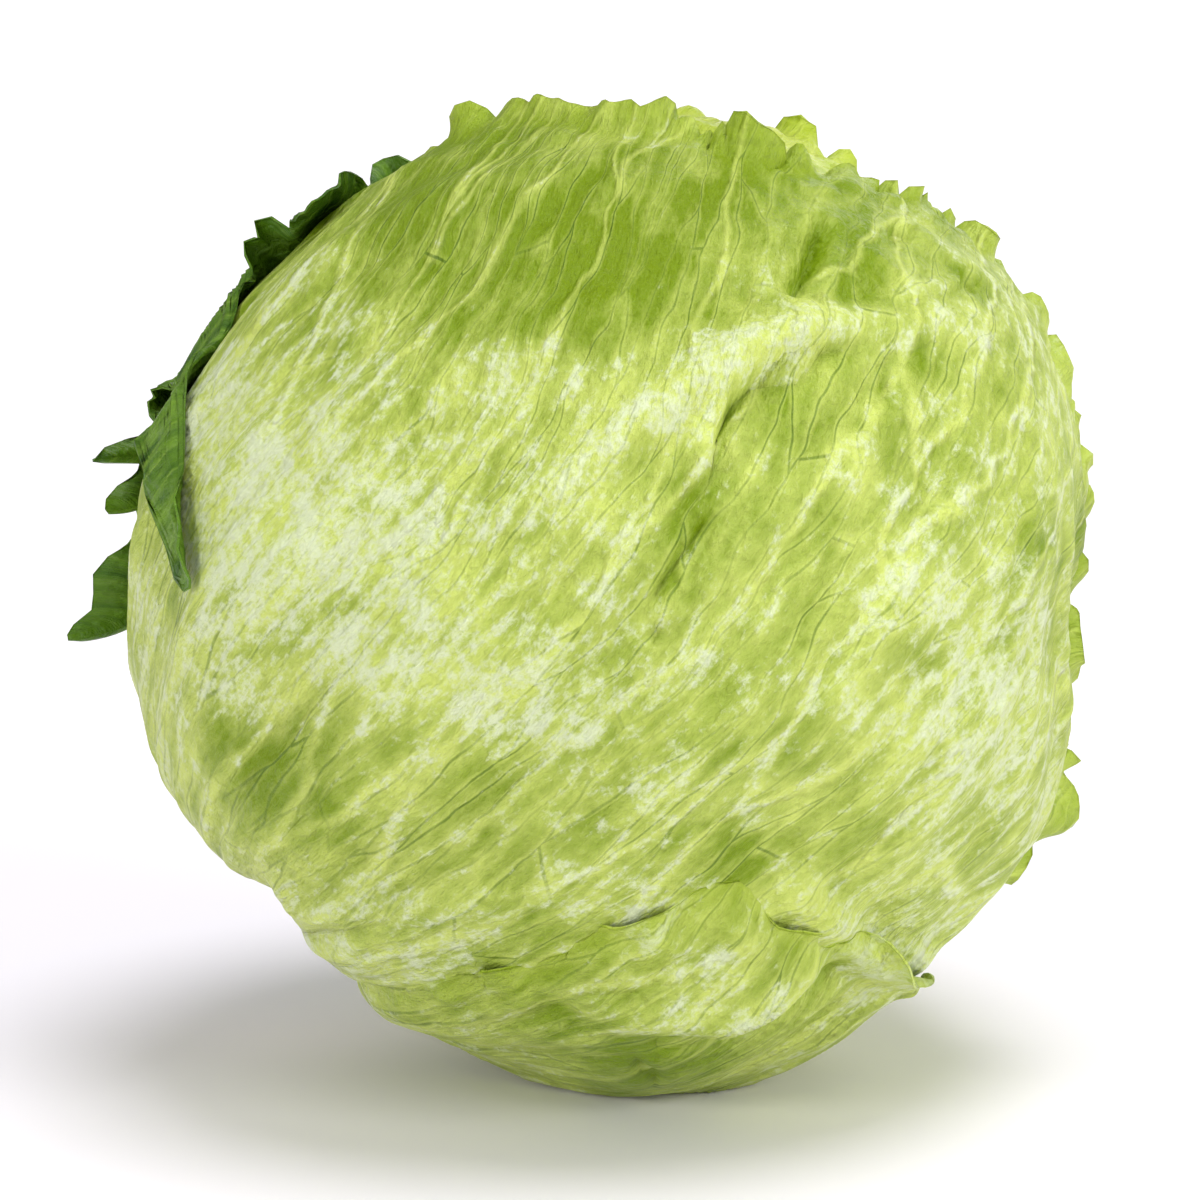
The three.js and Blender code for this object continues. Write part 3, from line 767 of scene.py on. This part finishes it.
def frilled_margin(rim, free, stemward, curled, seed, swing, lift, tall, teeth, settle):
    """The margin ring by ring: each ring's share of its width, and how far out, how high off the leaf
    inside it and how far aside each place lies, in millimetres."""
    toothed = free * teeth * (0.16 * ripple(rim, 26, seed)[0] + 0.1 * ripple(rim, 9, seed + 1)[0])
    path = FRILL * (1 + toothed) + 2.6 * stemward
    unrest = ripple(rim, 48, seed + 8)[0] + 0.7 * ripple(rim, 21, seed + 9)[0]
    lively = 0.3 + 0.7 * smoothstep(unrest, -0.6, 0.9)
    broad, beside_broad = ripple(rim, BROAD_WAVE, seed + 3)
    curl, beside_curl = ripple(rim, CURL_WAVE, seed + 4)
    small, beside_small = ripple(rim, SMALL_WAVE, seed + 5)
    sideways = 2.4 * beside_broad + 1.7 * beside_curl + 0.6 * beside_small
    shares = np.linspace(0, 1, FRILL_RINGS + 1)[1:]
    turn_up = np.zeros((FRILL_RINGS, len(rim)))
    for i, at in enumerate(shares):
        waves = swing * (70 * curl * at**1.2 + 42 * small * at**2)
        rise = (lift * np.maximum(0, broad + 0.3) * at**0.7 + waves) * lively + curled * at
        tucked = np.radians(TUCK) * stemward * at**1.5
        turn_up[i] = np.radians(np.clip(rise, *TURN_LIMITS)) * free - tucked
    step = path / FRILL_RINGS
    fullness = 1 + 0.4 * (1 - np.mean(np.cos(turn_up), axis=0)) * free
    outward = np.cumsum(np.cos(turn_up) * step * fullness, axis=0)
    stand = np.cumsum(np.sin(turn_up) * step * fullness, axis=0)
    stand = np.where(stemward > 0.01, stand, np.maximum(tall * np.tanh(stand / tall), -0.35 * free))
    stand = stand - settle * (1 - stemward) * smoothstep(shares, 0.1, 1.0)[:, None]
    aside = np.stack([free * at**1.5 * lively * sideways for at in shares])
    return shares, outward, stand, aside


def closed_leaf(outer_face, inner_face, rows, columns, rings):
    """Joins the leaf's two faces round its rim. The inner one, which is seldom seen, has fewer rows of
    mesh. Gives the points, the faces, and which points of the two full faces they use."""
    here = np.arange(columns)
    after = (here + 1) % columns

    def stitch(kept, start, flip):
        """Faces of one side, from the rows that are kept."""
        quads = []
        for low, high in zip(kept[:-1], kept[1:]):
            a, b = start + 1 + low * columns, start + 1 + high * columns
            quads.append(np.stack([a + here, b + here, b + after, a + after], axis=1))
        quads = np.concatenate(quads)
        return quads[:, ::-1] if flip else quads

    inner_rows = list(range(0, rings, 8)) + list(range(rings, rows, 2))
    inner_rows = sorted(set(inner_rows + [rows - 1]))
    inner_start = len(outer_face)
    a, b, c = outer_face[1 + 4 * columns], outer_face[1 + 5 * columns], outer_face[2 + 4 * columns]
    handed = np.dot(np.cross(b - a, c - a), a) < 0
    side_out = stitch(list(range(rows)), 0, handed)
    side_in = stitch(inner_rows, inner_start, not handed)
    last = 1 + (rows - 1) * columns
    inner_last = inner_start + last
    rim_faces = np.stack([last + after, last + here, inner_last + here, inner_last + after], axis=1)
    if not handed:
        rim_faces = rim_faces[:, ::-1]
    faces = np.concatenate([side_out, side_in, rim_faces]).tolist()
    for column in range(columns):
        pair = (1 + column, 1 + (column + 1) % columns)
        first, second = pair if handed else pair[::-1]
        faces.append((0, second, first))
        faces.append((inner_start, inner_start + first, inner_start + second))

    points = np.concatenate([outer_face, inner_face])
    keep = np.zeros(len(points), bool)
    keep[: inner_start + 1] = True
    keep[side_in] = True
    keep[rim_faces] = True
    renumber = np.cumsum(keep) - 1
    faces = [tuple(int(renumber[i]) for i in face) for face in faces]
    return points[keep], faces, keep


def wrapper_look(
    index,
    material,
    columns,
    rings,
    swing=1.0,
    lift=50,
    tall=5.0,
    teeth=1.0,
    settle=0,
    plain=(0.35, 0.85),
    tears=(),
    curls=(),
    sweeps=(),
):
    """Builds wrapper number index: its blade with the rib, its thin frilled margin and its inner face.

    columns run round it and rings from its middle to the margin. swing is the share by which the
    margin's smaller waves turn, and lift how many degrees its broad ones turn up. The margin stands tall
    millimetres off the leaf inside at most, is pressed down by settle, and has teeth, as a share of
    full ones. It goes flat towards the stem between the two values of plain, where 1 is at the stem.
    Round the edge, tears are where it reaches further out, or less far where it is torn off, curls
    where it turns up more, and sweeps where it is drawn aside."""
    leaf = WRAPPERS[index]
    seed = 40 * index
    rows = rings + FRILL_RINGS
    rim, spin = rim_places(leaf, columns)
    torn = bumps(spin, tears, 2.5)
    ragged = 3.5 * ripple(rim, 19, seed + 10)[0] + 2 * ripple(rim, 8, seed + 11)[0]
    whole_edge = HEAD_RADIUS * leaf.reach(spin)
    edge_at = whole_edge + torn + smoothstep(np.abs(torn), 4, 20) * ragged

    # Where the margin is free: not at the stem, and not under the leaves laid over this one.
    stemward = smoothstep(-np.cos(spin), *plain)
    way = leaf.way(edge_at / HEAD_RADIUS, spin)
    free = 1 - stemward
    for outer in WRAPPERS[index + 1 :]:
        free = free * smoothstep(outer.place(way)[0], *COVERED)
    curled = bumps(spin, curls)
    t, outward, stand, shift = frilled_margin(
        rim, free, stemward, curled, seed, swing, lift, tall, teeth, settle
    )

    # Where each place of the blade and of the margin lies: how far out, how high and how far aside.
    blade_shares = np.linspace(0, 1, rings + 1)[1:]
    flat = edge_at - FRILL
    distance = np.concatenate([blade_shares[:, None] * flat, flat + outward])
    raised = np.concatenate([np.zeros((rings, columns)), stand])
    aside = np.concatenate([np.zeros((rings, columns)), shift])
    beyond = np.clip((distance - whole_edge + TORN_OFF) / SWEEP_LENGTH, 0, 1.2)
    aside += bumps(spin, sweeps) * beyond**1.3
    frill_share = np.concatenate([np.zeros(rings), t])[:, None] * np.ones(columns)
    reach = np.maximum(distance / HEAD_RADIUS, 1e-4)
    spin_at = spin + aside / (HEAD_RADIUS * np.maximum(np.sin(reach), 0.2))
    way = leaf.way(reach.ravel(), spin_at.ravel())
    way = np.concatenate([leaf.centre[None], way])

    # The blade lies on what is inside it, puckered along its veins and crumpled near its free margin.
    places, covers, ribs, base = layers(way)
    inside = base + LEAF_GAP + sum(c * LEAF_PITCH + r for c, r in zip(covers[:index], ribs[:index]))
    across, up = places[index][2:]
    fan_turn, from_base = leaf.fan(way, across, up)
    puckers = PUCKER_HEIGHT * mottle(np.stack([fan_turn * 34, from_base * 8, 0 * across + index], axis=1))
    puckers *= smoothstep(from_base, 0.3, 0.8)
    inward = np.append(200, (edge_at + FRILL - distance).ravel())
    margin = smoothstep(-inward, -34, -8) * np.append(0, np.tile(free, rows))
    puckers += CRUMPLE * margin * (mottle(way * 11 + index) + 0.6 * mottle(way * 21 + index))
    bare = np.prod([1 - cover for cover in covers[index + 1 :]], axis=0)
    puckers = np.where(puckers < 0, 0.3, 0.3 + 0.7 * bare) * puckers
    raised = np.append(0, raised.ravel())
    radius = inside + LEAF_THICKNESS / 2 + raised + puckers
    points = way * radius[:, None]

    # The leaf's two faces lie on both sides of that, with the rib on the outer one.
    grid = points[1:].reshape(rows, columns, 3)
    along = np.gradient(grid, axis=0)
    around = np.roll(grid, -1, axis=1) - np.roll(grid, 1, axis=1)
    normal = np.cross(along, around)
    normal /= np.maximum(np.linalg.norm(normal, axis=2, keepdims=True), 1e-9)
    if np.sum(normal[: rings // 2] * grid[: rings // 2]) < 0:
        normal = -normal
    normals = np.concatenate([leaf.centre[None], normal.reshape(-1, 3)])
    thin = np.append(0, frill_share.ravel()) * np.append(0, np.tile(1 - stemward, rows))
    half = (LEAF_THICKNESS * (1 - thin) + EDGE_THICKNESS * thin) / 2
    outer_face = points + normals * (half + ribs[index])[:, None]
    inner_face = points - normals * half[:, None]
    points, faces, keep = closed_leaf(outer_face, inner_face, rows, columns, rings)

    fan = np.stack([fan_turn, from_base, 0 * across], axis=1)
    tone = leaf_tone(way, across, up, thin)
    both = {"fan": np.concatenate([fan, fan])[keep], "tone": np.concatenate([tone, tone])[keep]}
    return new_piece(leaf.name, points, faces, both, material)


# The leaves inside are yellower than the ones that had the light, and the old outer leaf is dark.
INNER_FINISH = leaf_finish(
    "inner_leaf",
    pale=(0.72, 0.8, 0.17),
    green=(0.4, 0.54, 0.01),
    vein=(0.3, 0.42, 0.0),
    edge=(0.52, 0.66, 0.04),
)
WRAPPER_FINISH = leaf_finish(
    "wrapper_leaf",
    pale=(0.65, 0.76, 0.16),
    green=(0.215, 0.33, 0.0),
    vein=(0.09, 0.18, 0.0),
    edge=(0.5, 0.64, 0.06),
)
OUTER_FINISH = leaf_finish(
    "outer_leaf",
    pale=(0.19, 0.36, 0.02),
    green=(0.025, 0.1, 0.0),
    vein=(0.28, 0.44, 0.06),
    edge=(0.07, 0.18, 0.0),
    # its painted glint: a lighter green highlight painted on the dark leaf
    painted_glint=(0.16, 0.3, 0.03),
)

wrapper_look(0, INNER_FINISH, 360, 70)
wrapper_look(1, WRAPPER_FINISH, 480, 84)
wrapper_look(2, WRAPPER_FINISH, 480, 84)

# The leaf under the front one shows its tall frills behind it. It reaches a little further out at the
# top.
UNDER_TEARS = [(47, 12, 3)]
wrapper_look(3, INNER_FINISH, 540, 90, swing=0.8, lift=50, tall=6.5, tears=UNDER_TEARS)

# The front leaf curls up more at four places of its top and right edge.
FRONT_CURLS = [(58, 5, 45), (47, 4, 60), (354, 3, 60), (330, 3, 40)]
wrapper_look(4, WRAPPER_FINISH, 660, 100, swing=0.95, lift=32, tall=5.4, curls=FRONT_CURLS)

# The low leaf is pressed on the front leaf. Its edge is drawn back along the lip, with one curled tip.
LOW_TEARS = [(50, 24, -19), (80, 7, -8), (92, 5, 3)]
LOW_CURLS = [(66, 4, 100)]
wrapper_look(
    5,
    WRAPPER_FINISH,
    480,
    84,
    swing=0.12,
    lift=0,
    tall=8,
    teeth=0.3,
    settle=1.5,
    tears=LOW_TEARS,
    curls=LOW_CURLS,
)

# The outer leaf is torn: at the left of the front view its edge is missing but for a few scraps, one
# of them long and drawn aside, and one tip that curls out.
OUTER_TEARS = [
    (276, 62, -26), (287, 8, 28), (272, 4, 14), (264, 6, 72),
    (247, 2.6, 27), (251, 13, 8), (240, 2.2, 24), (226, 4.4, 30),
]
OUTER_CURLS = [(226, 5, 85), (287, 6, 30), (264, 9, -20), (247, 2, 60), (240, 2, 70)]
OUTER_SWEEPS = [(264, 11, -21)]
wrapper_look(
    6,
    OUTER_FINISH,
    480,
    80,
    swing=0.8,
    lift=35,
    tall=12,
    plain=(0.72, 0.95),
    tears=OUTER_TEARS,
    curls=OUTER_CURLS,
    sweeps=OUTER_SWEEPS,
)

# The table, the light and the camera
# A white surface and a white room, with large soft lamps above, at the right and, weaker, at the left
# and behind, as for a picture of goods on white.
FLOOR_SIZE = 30.0
PAPER_WHITE = (0.96, 0.92, 1.0, 1)
bpy.ops.mesh.primitive_plane_add(size=FLOOR_SIZE)
floor = bpy.context.object
floor.name = "floor"
paper = bpy.data.materials.new("white_paper")
paper.use_nodes = True
paper_skin = paper.node_tree.nodes["Principled BSDF"]
paper_skin.inputs["Base Color"].default_value = PAPER_WHITE
paper_skin.inputs["Roughness"].default_value = 0.9
floor.data.materials.append(paper)

# The room is a plain white to the camera, but lights the head less strongly than that.
ROOM_LIGHT = 0.45
world = bpy.data.worlds.new("white_room")
bpy.context.scene.world = world
world.use_nodes = True
backdrop = world.node_tree.nodes["Background"]
backdrop.inputs["Color"].default_value = (1, 1, 1, 1)
room = Recipe(world.node_tree)
ray = room.node("ShaderNodeLightPath").outputs
bright = room.math("ADD", ROOM_LIGHT, room.math("MULTIPLY", ray["Is Camera Ray"], 1 - ROOM_LIGHT))
bright = room.math("SUBTRACT", bright, room.math("MULTIPLY", ray["Is Glossy Ray"], 0.3))
room.feed(backdrop.inputs["Strength"], bright)
bpy.context.scene.view_settings.view_transform = "Standard"


def soft_lamp(name, place, softness, strength):
    """A broad, far lamp that lights everything alike from one side."""
    lamp = bpy.data.lights.new(name, "SUN")
    lamp.angle = np.radians(softness)
    lamp.energy = strength
    holder = bpy.data.objects.new(name, lamp)
    holder.rotation_euler = (-Vector(place)).to_track_quat("-Z", "Y").to_euler()
    bpy.context.scene.collection.objects.link(holder)


soft_lamp("top_light", (0.16, -0.06, 1.0), 30, 1.65)
soft_lamp("left_light", (-0.85, -0.65, 0.35), 14, 0.8)
soft_lamp("right_light", (0.85, -0.65, 0.4), 24, 1.25)
soft_lamp("back_light", (0.3, 0.9, 0.4), 30, 0.4)

# The picture shows this much at the head's distance, through a long lens from a little above.
PICTURE_WIDTH = 0.198
LENS = 135
SENSOR = 36
ELEVATION = np.radians(10)
AIM_LEFT = 1.65 * MM
AIM_DOWN = 1.65 * MM
camera = bpy.data.cameras.new("camera")
camera.lens = LENS
camera.sensor_width = SENSOR
viewer = bpy.data.objects.new("camera", camera)
bpy.context.scene.collection.objects.link(viewer)
aim = Vector((-AIM_LEFT, 0, REST_HEIGHT * MM)) - AIM_DOWN * Vector(FRONT_UP)
viewer.location = aim + Vector(FRONT_OUT) * PICTURE_WIDTH * LENS / SENSOR
viewer.rotation_euler = (np.pi / 2 - ELEVATION, 0, 0)
bpy.context.scene.camera = viewer
